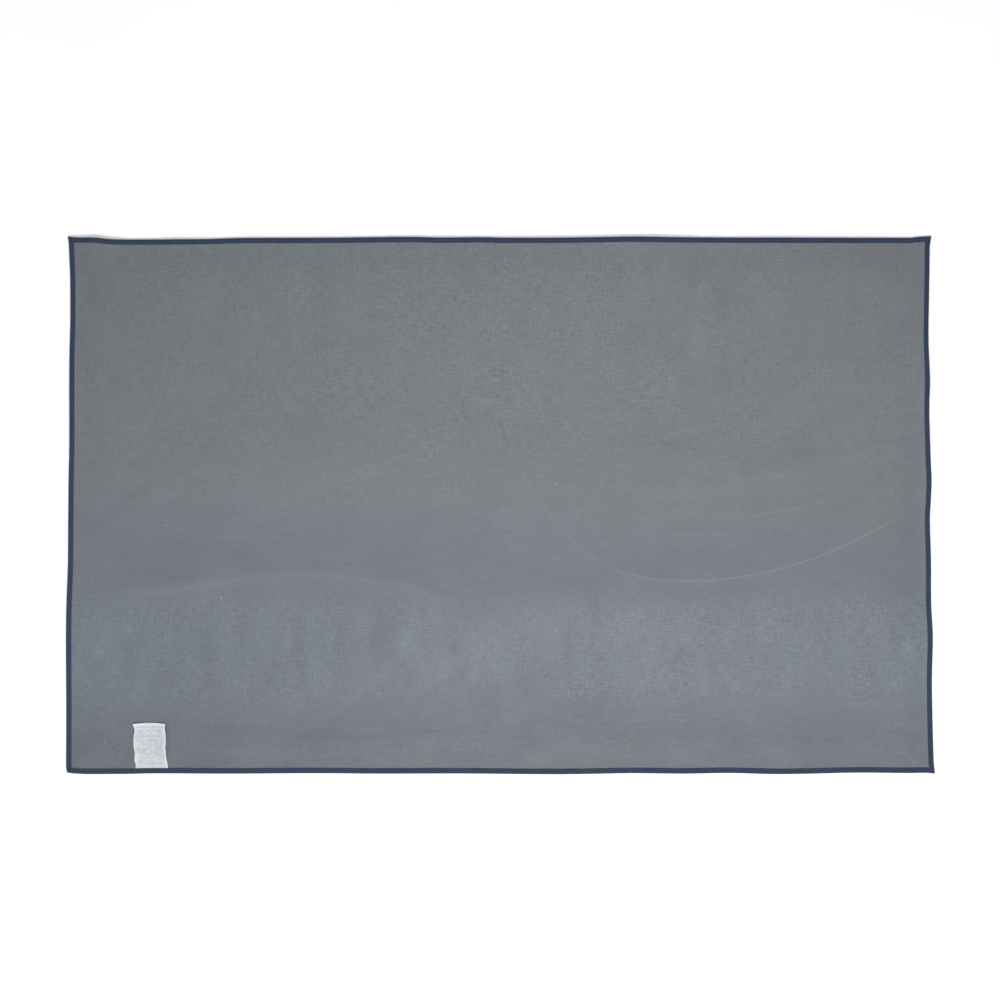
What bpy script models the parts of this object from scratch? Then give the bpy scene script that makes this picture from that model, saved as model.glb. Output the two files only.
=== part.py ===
"""A padded camp blanket with a coated backing, bound all round, lying flat with its backing up.

X runs along the length, Y across the width and Z up. The origin is under the blanket's centre, on the
ground. The blanket is made as two halves that meet at the fold across its middle: the right half turns
about the fold axis and lands on the left half, backing to backing. The care label turns about the inner
edge of the binding that holds it.
"""

import math

import bmesh
import bpy
from mathutils import Matrix, Vector

# The finished blanket.
LENGTH = 1.300
WIDTH = 0.800

# The layers, from the ground up. The face cloth is lofty in the field and pressed thin under the binding.
FACE_PRESSED = 0.0010
WADDING = 0.0010
BACKING = 0.0004

# The binding is one woven tape folded over the edge, two plies thick.
BINDING_WIDTH = 0.0080
TAPE = 0.0010
NOSE_RADIUS = 0.0015

# The lockstitch that closes the binding, a row on each face, sunk in a groove of the tape.
STITCH_FROM_INNER_EDGE = 0.0020
THREAD_RADIUS = 0.0002
GROOVE_DEPTH = 0.00075

# The care label, caught under the binding of the near edge.
LABEL_WIDTH = 0.050
LABEL_LENGTH = 0.068
LABEL = 0.0003
LABEL_FROM_LEFT_END = 0.1260

# Clearances.
TOUCH = 0.0003
FOLD_GAP = 0.0006
MITRE_GAP = 0.0003
FOLD_RISE = 0.0040

# Heights that follow from the layers.
FACE_TOP = TAPE + TOUCH + FACE_PRESSED
WADDING_BOTTOM = FACE_TOP + TOUCH
WADDING_TOP = WADDING_BOTTOM + WADDING
BACKING_BOTTOM = WADDING_TOP + TOUCH
BACKING_TOP = BACKING_BOTTOM + BACKING
LABEL_BOTTOM = BACKING_TOP + TOUCH
LABEL_TOP = LABEL_BOTTOM + LABEL
HEIGHT = LABEL_TOP + TOUCH + TAPE

# Places that follow from the outline.
END = LENGTH / 2
EDGE = WIDTH / 2
SEAM_INSET = TAPE + TOUCH
FIELD_INSET = BINDING_WIDTH + TOUCH
LABEL_CENTRE = -END + LABEL_FROM_LEFT_END
LABEL_HINGE = -EDGE + BINDING_WIDTH

# The joint axes. The label clears the tape that it folds back over by the same gap as it has below.
FOLD_AXIS = Vector((0, 0, HEIGHT + FOLD_RISE))
LABEL_AXIS = Vector((LABEL_CENTRE, LABEL_HINGE, (LABEL_BOTTOM + HEIGHT + TOUCH + LABEL) / 2))

LEFT, RIGHT = -1, 1
SIDES = {"left": LEFT, "right": RIGHT}
NOSE_STEPS = 4
UP = Vector((0, 0, 1))


def clear_scene():
    """Take every object out of the scene."""
    for obj in list(bpy.data.objects):
        bpy.data.objects.remove(obj, do_unlink=True)


def new_collection(name):
    """Make a collection in the scene."""
    collection = bpy.data.collections.new(name)
    bpy.context.scene.collection.children.link(collection)
    return collection


def new_material(name, colour, roughness):
    """Make a cloth material with one colour."""
    material = bpy.data.materials.new(name)
    material.use_nodes = True
    shader = material.node_tree.nodes["Principled BSDF"]
    shader.inputs["Base Color"].default_value = (*colour, 1)
    shader.inputs["Roughness"].default_value = roughness
    shader.inputs["Metallic"].default_value = 0
    return material


def file_in(obj, collection, material=None):
    """Move an object to a collection and give it its material."""
    for old in list(obj.users_collection):
        old.objects.unlink(obj)
    collection.objects.link(obj)
    if material:
        obj.data.materials.clear()
        obj.data.materials.append(material)
    return obj


def new_axis(name, place, collection):
    """Make an empty on a joint's axis."""
    axis = bpy.data.objects.new(name, None)
    axis.empty_display_size = 0.05
    axis.location = place
    collection.objects.link(axis)
    return axis


def hang_on(obj, axis):
    """Make an object turn with an axis, where it lies."""
    obj.parent = axis
    obj.location = obj.location - axis.location


def add_box(name, low, high):
    """Add a box between two corners."""
    low, high = Vector(low), Vector(high)
    bpy.ops.mesh.primitive_cube_add(size=1, location=(low + high) / 2)
    box = bpy.context.object
    box.name = name
    box.scale = high - low
    bpy.ops.object.transform_apply(location=False, rotation=False, scale=True)
    return box


def half_box(name, side, inset, bottom, top):
    """Add a box over one half of the blanket, stopping short of its outline and of the fold."""
    reach = sorted((side * FOLD_GAP / 2, side * (END - inset)))
    low = (reach[0], -EDGE + inset, bottom)
    high = (reach[1], EDGE - inset, top)
    return add_box(name, low, high)


def add_face_cloth(name, side, helpers):
    """Add half of the face cloth: its pressed edge, and its lofty field down to the ground."""
    cloth = half_box(name, side, SEAM_INSET, TAPE + TOUCH, FACE_TOP)
    field = half_box(name + "_field", side, FIELD_INSET, 0, FACE_TOP)
    file_in(field, helpers)
    field.hide_render = True
    field.display_type = "WIRE"
    union = cloth.modifiers.new("field", "BOOLEAN")
    union.operation = "UNION"
    union.object = field
    return cloth


def groove(depth_from, towards):
    """The four corners of the stitch groove, from the inner side to the outer, on a face of the tape."""
    middle = BINDING_WIDTH - STITCH_FROM_INNER_EDGE
    half = THREAD_RADIUS + TOUCH
    floor = depth_from + towards * GROOVE_DEPTH
    inner, outer = middle + half, middle - half
    return [(inner, depth_from), (inner, floor), (outer, floor), (outer, depth_from)]


def nose(centre_height, start):
    """A quarter turn of the tape's rounded fold, from the angle start, clockwise."""
    turn = math.pi / 2 / NOSE_STEPS
    angles = [start - step * turn for step in range(NOSE_STEPS + 1)]
    return [
        (NOSE_RADIUS + NOSE_RADIUS * math.cos(a), centre_height + NOSE_RADIUS * math.sin(a))
        for a in angles
    ]


def tape_section():
    """The folded tape's cross-section: distance in from the blanket's edge, and height."""
    under = [(BINDING_WIDTH, 0), *groove(0, 1)]
    fold = nose(NOSE_RADIUS, -math.pi / 2) + nose(HEIGHT - NOSE_RADIUS, math.pi)
    over = [*reversed(groove(HEIGHT, -1)), (BINDING_WIDTH, HEIGHT)]
    top = HEIGHT - TAPE
    inside = [(BINDING_WIDTH, top), (TAPE, top), (TAPE, TAPE), (BINDING_WIDTH, TAPE)]
    return under + fold + over + inside


def sweep_section(name, length):
    """Extrude the tape's section, as a mesh centred on its own middle."""
    curve = bpy.data.curves.new(name, "CURVE")
    curve.dimensions = "2D"
    curve.fill_mode = "BOTH"
    curve.extrude = length / 2
    outline = tape_section()
    spline = curve.splines.new("POLY")
    spline.points.add(len(outline) - 1)
    for point, (inward, height) in zip(spline.points, outline):
        point.co = (inward, height, 0, 1)
    spline.use_cyclic_u = True
    source = bpy.data.objects.new(name + "_section", curve)
    bpy.context.scene.collection.objects.link(source)
    graph = bpy.context.evaluated_depsgraph_get()
    mesh = bpy.data.meshes.new_from_object(source.evaluated_get(graph))
    bpy.data.objects.remove(source, do_unlink=True)
    mesh.name = name
    return mesh


def cut_mitre(tape, place, normal):
    """Cut a tape's end off along a plane, on the side that the normal points to, and close it."""
    bmesh.ops.bisect_plane(
        tape,
        geom=tape.verts[:] + tape.edges[:] + tape.faces[:],
        dist=1e-7,
        plane_co=place,
        plane_no=normal,
        clear_outer=True,
    )
    rim = [edge for edge in tape.edges if edge.is_boundary]
    bmesh.ops.holes_fill(tape, edges=rim, sides=0)


def add_binding(name, start, end, inward, mitred_ends):
    """Add a straight length of binding along one edge of the blanket.

    start and end are points on the blanket's outline, inward points to its middle, and mitred_ends are
    those of the two points where the length meets the next one at a corner.
    """
    start, end, inward = Vector(start), Vector(end), Vector(inward)
    mesh = sweep_section(name, (end - start).length)
    along = inward.cross(UP)
    turn = Matrix((inward, UP, along)).transposed().to_4x4()
    middle = (start + end) / 2
    tape = bmesh.new()
    tape.from_mesh(mesh)
    bmesh.ops.remove_doubles(tape, verts=tape.verts, dist=1e-6)
    bmesh.ops.transform(tape, matrix=turn, verts=tape.verts)
    for point in mitred_ends:
        outward = (Vector(point) - middle).normalized()
        normal = (outward + inward).normalized()
        place = Vector(point) - middle - normal * MITRE_GAP / 2
        cut_mitre(tape, place, normal)
    bmesh.ops.recalc_face_normals(tape, faces=tape.faces)
    tape.to_mesh(mesh)
    tape.free()
    binding = bpy.data.objects.new(name, mesh)
    binding.location = middle
    return binding


def add_thread(name, side, height):
    """Add one half of a stitch row: along both long edges and round the end, a set distance in."""
    inset = BINDING_WIDTH - STITCH_FROM_INNER_EDGE
    fold, end, edge = side * FOLD_GAP / 2, side * (END - inset), EDGE - inset
    path = [(fold, -edge), (end, -edge), (end, edge), (fold, edge)]
    curve = bpy.data.curves.new(name, "CURVE")
    curve.dimensions = "3D"
    curve.bevel_depth = THREAD_RADIUS
    curve.bevel_resolution = 2
    curve.use_fill_caps = True
    spline = curve.splines.new("POLY")
    spline.points.add(len(path) - 1)
    for point, (x, y) in zip(spline.points, path):
        point.co = (x, y, 0, 1)
    thread = bpy.data.objects.new(name, curve)
    thread.location = (0, 0, height)
    return thread


def build_cloth(side_name, side, parts, helpers, cloths):
    """Build the three layers of one half."""
    backing = half_box(f"backing_cloth_{side_name}", side, SEAM_INSET, BACKING_BOTTOM, BACKING_TOP)
    wadding = half_box(f"wadding_{side_name}", side, SEAM_INSET, WADDING_BOTTOM, WADDING_TOP)
    face = add_face_cloth(f"face_cloth_{side_name}", side, helpers)
    return [
        file_in(backing, parts, cloths["backing"]),
        file_in(wadding, parts, cloths["wadding"]),
        file_in(face, parts, cloths["face"]),
    ]


def build_binding(side_name, side, parts, cloths):
    """Build the three lengths of tape round one half: near edge, far edge and end."""
    fold = side * FOLD_GAP / 2
    near, far = (side * END, -EDGE, 0), (side * END, EDGE, 0)
    lengths = [
        add_binding(f"binding_near_{side_name}", (fold, -EDGE, 0), near, (0, 1, 0), [near]),
        add_binding(f"binding_far_{side_name}", (fold, EDGE, 0), far, (0, -1, 0), [far]),
        add_binding(f"binding_{side_name}_end", near, far, (-side, 0, 0), [near, far]),
    ]
    return [file_in(length, parts, cloths["binding"]) for length in lengths]


def build_stitching(side_name, side, parts, cloths):
    """Build the needle thread on the backing's side and the bobbin thread on the face's side."""
    depth = GROOVE_DEPTH - TOUCH - THREAD_RADIUS
    needle = add_thread(f"needle_thread_{side_name}", side, HEIGHT - depth)
    bobbin = add_thread(f"bobbin_thread_{side_name}", side, depth)
    return [file_in(thread, parts, cloths["thread"]) for thread in (needle, bobbin)]


def build_label(parts, cloths):
    """Build the label's sewn end under the binding, and the free flap that turns."""
    left, right = LABEL_CENTRE - LABEL_WIDTH / 2, LABEL_CENTRE + LABEL_WIDTH / 2
    seam = -EDGE + SEAM_INSET
    root_end = LABEL_HINGE - TOUCH / 2
    flap_start = LABEL_HINGE + TOUCH / 2
    flap_end = LABEL_HINGE + LABEL_LENGTH
    root = add_box("care_label_root", (left, seam, LABEL_BOTTOM), (right, root_end, LABEL_TOP))
    flap = add_box("care_label_flap", (left, flap_start, LABEL_BOTTOM), (right, flap_end, LABEL_TOP))
    file_in(root, parts, cloths["label"])
    file_in(flap, parts, cloths["label"])
    hang_on(flap, new_axis("label_axis", LABEL_AXIS, parts))


def main():
    """Build the blanket."""
    clear_scene()
    parts = new_collection("camp_blanket")
    helpers = new_collection("helpers")
    cloths = {
        "backing": new_material("backing_cloth", (0.20, 0.22, 0.24), 0.55),
        "wadding": new_material("wadding", (0.80, 0.80, 0.78), 0.95),
        "face": new_material("face_cloth", (0.045, 0.060, 0.100), 0.95),
        "binding": new_material("binding_tape", (0.042, 0.062, 0.112), 0.75),
        "thread": new_material("thread", (0.050, 0.070, 0.120), 0.60),
        "label": new_material("label_satin", (0.62, 0.64, 0.66), 0.50),
    }
    fold_axis = new_axis("fold_axis", FOLD_AXIS, parts)
    for side_name, side in SIDES.items():
        pieces = build_cloth(side_name, side, parts, helpers, cloths)
        pieces += build_binding(side_name, side, parts, cloths)
        pieces += build_stitching(side_name, side, parts, cloths)
        if side == RIGHT:
            for piece in pieces:
                hang_on(piece, fold_axis)
    build_label(parts, cloths)


main()
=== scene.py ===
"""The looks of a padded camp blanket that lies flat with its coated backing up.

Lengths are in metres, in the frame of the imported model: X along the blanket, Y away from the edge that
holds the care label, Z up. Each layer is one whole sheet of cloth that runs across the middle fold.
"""

from __future__ import annotations

import logging
import math
from dataclasses import dataclass, field
from enum import Enum
from typing import Protocol

import bpy
import numpy as np
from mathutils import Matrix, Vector

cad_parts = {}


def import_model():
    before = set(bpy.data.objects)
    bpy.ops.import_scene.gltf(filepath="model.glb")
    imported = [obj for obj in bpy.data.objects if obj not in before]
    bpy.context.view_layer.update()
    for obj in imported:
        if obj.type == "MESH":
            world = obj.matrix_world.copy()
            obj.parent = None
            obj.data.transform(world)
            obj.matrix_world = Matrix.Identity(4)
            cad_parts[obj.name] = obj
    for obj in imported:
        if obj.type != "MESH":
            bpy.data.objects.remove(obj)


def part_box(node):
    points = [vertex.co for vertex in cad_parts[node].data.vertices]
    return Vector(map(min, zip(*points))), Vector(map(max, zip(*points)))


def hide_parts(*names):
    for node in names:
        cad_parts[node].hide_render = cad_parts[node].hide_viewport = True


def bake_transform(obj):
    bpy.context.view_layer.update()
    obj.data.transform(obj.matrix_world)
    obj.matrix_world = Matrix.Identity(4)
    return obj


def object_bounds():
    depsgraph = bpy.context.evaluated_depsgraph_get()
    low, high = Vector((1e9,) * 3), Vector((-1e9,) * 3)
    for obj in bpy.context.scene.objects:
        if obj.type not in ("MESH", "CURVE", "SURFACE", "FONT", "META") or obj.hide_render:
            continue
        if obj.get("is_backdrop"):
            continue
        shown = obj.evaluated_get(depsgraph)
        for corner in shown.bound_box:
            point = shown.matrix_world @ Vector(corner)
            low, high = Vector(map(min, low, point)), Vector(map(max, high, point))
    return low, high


LOG = logging.getLogger("camp_blanket")
MM = 0.001

Point = tuple[float, float]
Triple = tuple[float, float, float]


class Body(Enum):
    """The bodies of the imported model."""

    LEFT = "left_half"
    RIGHT = "right_half"
    LABEL = "care_label"


class Edge(Enum):
    """The four edges of the blanket, by the way that points inwards from each."""

    NEAR = (0, 1)
    RIGHT = (-1, 0)
    FAR = (0, -1)
    LEFT = (1, 0)


class Face(Enum):
    """The two faces of the blanket that carry a stitch row."""

    BACKING = "needle"
    GROUND = "bobbin"


# --------------------------------------------------------------------------------------------- shape


def smooth(t: np.ndarray) -> np.ndarray:
    """Ease from 0 to 1 as t goes from 0 to 1, flat outside."""
    t = np.clip(t, 0, 1)
    return t * t * (3 - 2 * t)


def smooth_path(points: tuple[Point, ...], step: float) -> np.ndarray:
    """Run a smooth curve through points.

    Args:
        points: the points that the curve passes through, in order.
        step: the longest distance between the samples.

    Returns:
        The samples along the curve, one row each.
    """
    given = np.array(points, float)
    ends = np.vstack([2 * given[0] - given[1], given, 2 * given[-1] - given[-2]])
    samples = []
    for before, start, end, after in zip(ends, ends[1:], ends[2:], ends[3:]):
        count = max(2, int(np.linalg.norm(end - start) / step) + 1)
        t = np.linspace(0, 1, count, endpoint=False)[:, None]
        samples.append(
            0.5
            * (
                2 * start
                + (end - before) * t
                + (2 * before - 5 * start + 4 * end - after) * t**2
                + (3 * start - before - 3 * end + after) * t**3
            )
        )
    return np.vstack([*samples, given[-1:]])


def wave_line(points: tuple[Point, ...], along: np.ndarray) -> np.ndarray:
    """Read a smooth curve of offsets at places along an edge, in millimetres of offset.

    Args:
        points: places along the edge in metres, each with its offset in millimetres.
        along: the places to read.

    Returns:
        The offsets at those places, in metres.
    """
    path = smooth_path(points, 4 * MM)
    order = np.argsort(path[:, 0])
    return np.interp(along, path[order, 0], path[order, 1]) * MM


@dataclass(frozen=True)
class Crease:
    """A soft ridge or dent pressed into the cloth along a curve.

    The cloth falls away from the curve on each side: left and right are as seen when walking along it.

    Attributes:
        points: the points that the curve passes through.
        height: how high the ridge is, or below 0 how deep the dent.
        left, right: how far the cloth takes to fall away on each side.
        round: how softly the top is rounded.
        start, end: how far the crease takes to fade in and out along the curve.
        rub_and_shade: how much paler its line is, as abraded coating with a painted highlight, or below 0 how
            much darker as painted shade.
        rub_width: the width of that line.
    """

    points: tuple[Point, ...]
    height: float
    left: float
    right: float
    round: float = 2.0 * MM
    start: float = 0.06
    end: float = 0.06
    rub_and_shade: float = 0.0
    rub_width: float = 1.3 * MM

    def measure(self, x: np.ndarray, y: np.ndarray) -> tuple[np.ndarray, np.ndarray]:
        """Measure from places on the cloth to the curve.

        Args:
            x: the places along the blanket.
            y: the places across it.

        Returns:
            The signed distance, positive on the left, and how strongly the crease shows, less towards the
            curve's two ends.
        """
        path = smooth_path(self.points, 6 * MM)
        starts, spans = path[:-1], np.diff(path, axis=0)
        lengths = np.linalg.norm(spans, axis=1)
        run = np.concatenate([[0], np.cumsum(lengths)])
        best = np.full(x.shape, np.inf)
        signed, place = np.zeros_like(x), np.zeros_like(x)
        for start, span, length, passed in zip(starts, spans, lengths, run):
            dx, dy = x - start[0], y - start[1]
            t = np.clip((dx * span[0] + dy * span[1]) / length**2, 0, 1)
            away = np.hypot(dx - t * span[0], dy - t * span[1])
            nearer = away < best
            best = np.where(nearer, away, best)
            cross = span[0] * dy - span[1] * dx
            signed = np.where(nearer, np.sign(cross) * away, signed)
            place = np.where(nearer, passed + t * length, place)
        fade = smooth(place / self.start) * smooth((run[-1] - place) / self.end)
        return signed, fade

    def relief(self, x: np.ndarray, y: np.ndarray) -> np.ndarray:
        """The height that the crease adds at places on the cloth."""
        signed, fade = self.measure(x, y)
        width = np.where(signed > 0, self.left, self.right)
        fall = np.sqrt(signed**2 + self.round**2) - self.round
        return self.height * fade * np.exp(-fall / width)


@dataclass(frozen=True)
class Swell:
    """A low round rise or hollow in the cloth, or a patch of painted light and shade, longer one way than the
    other.

    Attributes:
        centre: its middle.
        reach: how far it reaches along and across.
        height: how high it is, or for a patch the share by which painted light and shade change its colour.
        turn: how far it is turned, in radians.
    """

    centre: Point
    reach: Point
    height: float
    turn: float = 0.0

    def relief(self, x: np.ndarray, y: np.ndarray) -> np.ndarray:
        """The height that the swell adds at places on the cloth."""
        dx, dy = x - self.centre[0], y - self.centre[1]
        along = dx * math.cos(self.turn) + dy * math.sin(self.turn)
        across = dy * math.cos(self.turn) - dx * math.sin(self.turn)
        return self.height * np.exp(-((along / self.reach[0]) ** 2) - (across / self.reach[1]) ** 2)


@dataclass(frozen=True)
class Band:
    """A soft strip right along the blanket, in which the coating is painted paler or darker as light and
    shade.

    Attributes:
        low, high: where the strip starts and ends across the blanket.
        low_edge, high_edge: how far its two edges take to fade in.
        left, right: how much its painted light and shade change the colour at the blanket's left and right
            ends.
    """

    low: float
    high: float
    low_edge: float
    high_edge: float
    left: float
    right: float

    def relief(self, x: np.ndarray, y: np.ndarray) -> np.ndarray:
        """The share by which painted light and shade change the coating's colour at places on the cloth."""
        inside = smooth((y - self.low) / self.low_edge) * smooth((self.high - y) / self.high_edge)
        return inside * (self.left + (self.right - self.left) * smooth((x + 0.35) / 0.5))


@dataclass
class Lie:
    """How the blanket lies: its outline as it has slumped, and the low waves in it.

    Attributes:
        half_length, half_width: half the sides of the cut blanket.
        reach: how far into the blanket the drift of its edges carries.
        far, near, left, right: the drift of each edge, as places along it and millimetres of offset.
        creases, swells: what shapes the cloth.
        light_and_shade_patches: the patches of painted light and shade on its coating.
        most: the highest that the underside may lie.
    """

    half_length: float
    half_width: float
    reach: float = 0.10
    far: tuple[Point, ...] = (
        (-0.650, 2.2), (-0.634, 0.6), (-0.610, 0.3), (-0.579, -2.2), (-0.516, -2.3), (-0.441, -1.7),
        (-0.404, -0.4), (-0.366, 0.1), (-0.254, 0.4), (-0.142, 1.6), (-0.090, 0.6), (-0.030, 1.1),
        (0.008, 0.4), (0.083, 0.4), (0.157, 1.4), (0.195, 2.0), (0.232, 1.6), (0.307, 0.8),
        (0.606, 0.3), (0.621, 1.0), (0.636, 2.1), (0.650, 2.7),
    )
    near: tuple[Point, ...] = (
        (-0.650, -0.2), (-0.640, -1.3), (-0.619, -2.3), (-0.565, -2.2), (-0.516, -1.3), (-0.404, -1.8),
        (-0.272, -1.1), (-0.179, -1.8), (-0.067, -1.6), (0.082, -2.6), (0.195, -1.1), (0.270, -1.8),
        (0.344, -0.8), (0.419, -2.4), (0.531, -0.3), (0.606, -0.8), (0.636, -0.4), (0.650, -1.6),
    )
    left: tuple[Point, ...] = (
        (-0.400, 1.8), (-0.395, 0.9), (-0.382, 0.2), (-0.292, 0.3), (-0.202, 0.0), (-0.143, 1.0),
        (-0.113, 2.1), (-0.083, 3.0), (-0.023, 3.3), (0.037, 3.7), (0.097, 5.0), (0.216, 5.1),
        (0.276, 6.4), (0.336, 6.1), (0.375, 4.7), (0.389, 4.1), (0.400, 2.6),
    )
    right: tuple[Point, ...] = (
        (-0.400, 0.2), (-0.391, -0.8), (-0.377, -1.9), (-0.322, -3.2), (-0.262, -4.0), (-0.202, -2.8),
        (-0.172, -4.1), (-0.143, -5.5), (-0.083, -5.6), (-0.023, -7.1), (0.007, -5.6), (0.037, -4.5),
        (0.067, -5.8), (0.127, -7.9), (0.157, -8.0), (0.187, -7.1), (0.246, -9.2), (0.306, -8.4),
        (0.366, -7.5), (0.384, -7.2), (0.393, -6.0), (0.400, -4.8),
    )
    creases: tuple[Crease, ...] = field(default_factory=tuple)
    swells: tuple[Swell, ...] = field(default_factory=tuple)
    light_and_shade_patches: tuple[Swell | Band, ...] = field(default_factory=tuple)
    most: float = 6.0 * MM

    def warp(self, x: np.ndarray, y: np.ndarray) -> tuple[np.ndarray, np.ndarray]:
        """Move places on the cut cloth to where they lie on the ground.

        Args:
            x: the places along the cut blanket.
            y: the places across it.

        Returns:
            The x and y of the same places as the blanket lies.
        """
        from_left, from_right = x + self.half_length, self.half_length - x
        from_near, from_far = y + self.half_width, self.half_width - y
        moved_x = (
            x
            + wave_line(self.left, y) * np.exp(-from_left / self.reach)
            + wave_line(self.right, y) * np.exp(-from_right / self.reach)
        )
        moved_y = (
            y
            + wave_line(self.near, x) * np.exp(-from_near / self.reach)
            + wave_line(self.far, x) * np.exp(-from_far / self.reach)
        )
        return moved_x, moved_y

    def gentle_waves(self, x: np.ndarray, y: np.ndarray) -> np.ndarray:
        """Low waves with no pattern, which any cloth on the ground has."""
        draw = np.random.default_rng(11)
        total = np.zeros_like(x)
        for _ in range(26):
            length = draw.uniform(0.09, 0.34)
            turn, phase = draw.uniform(0, math.pi), draw.uniform(0, 2 * math.pi)
            along = x * math.cos(turn) + y * math.sin(turn)
            total += 0.00075 * length * np.sin(2 * math.pi * along / length + phase)
        return total

    def gathers(self, x: np.ndarray, y: np.ndarray) -> np.ndarray:
        """Short puckers side by side, below the long creases, where the cloth was pushed up."""
        draw = np.random.default_rng(5)
        total = np.zeros_like(x)
        for place in np.arange(-0.60, 0.63, 0.052):
            middle = place + draw.uniform(-0.012, 0.012)
            centre_y = draw.uniform(-0.235, -0.195)
            height = draw.uniform(0.18, 0.52) * MM * draw.choice([-1, 1])
            lean = draw.uniform(-0.25, 0.25)
            dx = x - middle - lean * (y - centre_y)
            dy = (y - centre_y) / draw.uniform(0.045, 0.075)
            total += height * np.exp(-((dx / draw.uniform(0.009, 0.016)) ** 2) - dy**2)
        return total

    def lift(self, x: np.ndarray, y: np.ndarray) -> np.ndarray:
        """How high the underside of the blanket lies above the ground, at places on the cut cloth."""
        total = 0.8 * MM + self.gentle_waves(x, y) + self.gathers(x, y)
        for crease in self.creases:
            total += crease.relief(x, y)
        for swell in self.swells:
            total += swell.relief(x, y)
        soft = 0.35 * MM
        floor = soft * np.logaddexp(0, total / soft)
        return soft * np.logaddexp(0, self.most / soft) - soft * np.logaddexp(0, (self.most - floor) / soft)

    def place(self, x: np.ndarray, y: np.ndarray, z: np.ndarray) -> np.ndarray:
        """Lay places on the cut blanket onto the ground.

        Args:
            x: the places along the cut blanket.
            y: the places across it.
            z: the heights above its underside.

        Returns:
            The points, with x, y and z last.
        """
        return np.stack([*self.warp(x, y), self.lift(x, y) + z], -1)

    def rub_and_shade_lines(self, x: np.ndarray, y: np.ndarray) -> tuple[np.ndarray, np.ndarray]:
        """Where the lines along the creases are paler, as abraded coating with a painted highlight, or
        darker, as painted shade.

        Args:
            x: the places along the cut blanket.
            y: the places across it.

        Returns:
            The distance to the nearest crease in widths of its line, signed, and how pale that line is, below
            0 how dark with painted shade.
        """
        nearest, pale = np.full(x.shape, 9.0), np.zeros_like(x)
        for crease in self.creases:
            if not crease.rub_and_shade:
                continue
            signed, fade = crease.measure(x, y)
            widths = signed / crease.rub_width
            reach = 12 * MM + 3 * crease.rub_width
            closer = (abs(signed) < reach) & (abs(widths) < abs(nearest)) & (abs(crease.rub_and_shade) * fade > 0.012)
            nearest = np.where(closer, widths, nearest)
            pale = np.where(closer, crease.rub_and_shade * fade * smooth(3 * (1 - abs(signed) / reach)), pale)
        return nearest, pale

    def tone(self, x: np.ndarray, y: np.ndarray) -> np.ndarray:
        """Painted light and shade on the coating, as a share of its colour above or below 0: lighter on the
        puckers' tops, darker in their hollows, and the patches of painted light and shade.
        """
        # Painted shade: each millimetre of pucker height lightens the coating by 14 per cent, and each
        # millimetre of hollow darkens it as much.
        total = self.gathers(x, y) * 0.14 / MM
        for patch in self.light_and_shade_patches:
            total += patch.relief(x, y)
        return total

    def gathered(self, x: np.ndarray, y: np.ndarray) -> np.ndarray:
        """Where the small rumples run across the blanket rather than along it."""
        y = y + self.wander(x)
        strip = smooth((-0.130 - y) / 0.02) * smooth((y + 0.305) / 0.03)
        return np.maximum(strip, smooth((y - 0.11) / 0.08))

    def wander(self, x: np.ndarray) -> np.ndarray:
        """How far the borders between smooth and rumpled cloth stray from straight."""
        return 7 * MM * np.sin(9.1 * x + 0.4) + 4 * MM * np.sin(31.0 * x) + 2 * MM * np.sin(73.0 * x + 1.0)

    def weave_shown(self, x: np.ndarray, y: np.ndarray) -> np.ndarray:
        """How clearly the weave shows through the coating: best where the cloth was stretched."""
        y = y + self.wander(x)
        strip = smooth((-0.135 - y) / 0.02) * smooth((y + 0.305) / 0.03)
        smoothed = smooth((0.03 - y) / 0.06) * smooth((y + 0.135) / 0.02)
        upper = smooth((y - 0.05) / 0.10) * (0.20 + 0.35 * np.exp(-((x / 0.26) ** 2)))
        return 0.75 + 0.60 * strip * (0.70 + 0.30 * smooth((x + 0.1) / 0.2)) - 0.25 * smoothed + upper


class Level(Enum):
    """The surfaces between the layers, from the ground up."""

    GROUND = 0
    FACE_TOP = 1
    WADDING_TOP = 2
    BACKING_TOP = 3


@dataclass(frozen=True)
class Stack:
    """How thick the layers are, lofty in the field and pressed together under the binding.

    Attributes:
        in_field, under_tape: the height of each level, from the ground up.
        pressed_to: how far in from the edge the binding presses the layers together.
        lofty_from: how far in they have their full loft.
        apart: the gap between one layer and the next, so that they don't share a surface.
    """

    in_field: tuple[float, ...] = (0.0, 2.0 * MM, 3.25 * MM, 3.75 * MM)
    under_tape: tuple[float, ...] = (0.72 * MM, 1.50 * MM, 2.00 * MM, 2.36 * MM)
    pressed_to: float = 7.6 * MM
    lofty_from: float = 55.0 * MM
    apart: float = 0.04 * MM

    def height(self, level: Level, inset: np.ndarray) -> np.ndarray:
        """The height of a surface above the blanket's underside.

        Args:
            level: which surface.
            inset: how far in from the blanket's edge, in metres.

        Returns:
            The heights, one for each inset.
        """
        low, high = self.under_tape[level.value], self.in_field[level.value]
        return low + (high - low) * smooth((inset - self.pressed_to) / (self.lofty_from - self.pressed_to))


def graded(stops: tuple[Triple, ...]) -> np.ndarray:
    """Lay out grid lines in stretches, each as (from, to, spacing)."""
    lines = [
        np.linspace(start, end, max(2, round((end - start) / spacing) + 1))[:-1]
        for start, end, spacing in stops
    ]
    return np.concatenate([*lines, [stops[-1][1]]])


def deselect_all() -> None:
    """Leave nothing selected."""
    bpy.ops.object.select_all(action="DESELECT")


def pick(piece: bpy.types.Object) -> None:
    """Select one piece and nothing else."""
    deselect_all()
    piece.select_set(True)
    bpy.context.view_layer.objects.active = piece


def apply_modifier(piece: bpy.types.Object, kind: str, **settings: object) -> None:
    """Add a modifier to a piece and apply it.

    Args:
        piece: the piece.
        kind: the modifier's type.
        settings: the modifier's values.
    """
    pick(piece)
    modifier = piece.modifiers.new(kind.title(), kind)
    for name, value in settings.items():
        setattr(modifier, name, value)
    bpy.ops.object.modifier_apply(modifier=modifier.name)


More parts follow.
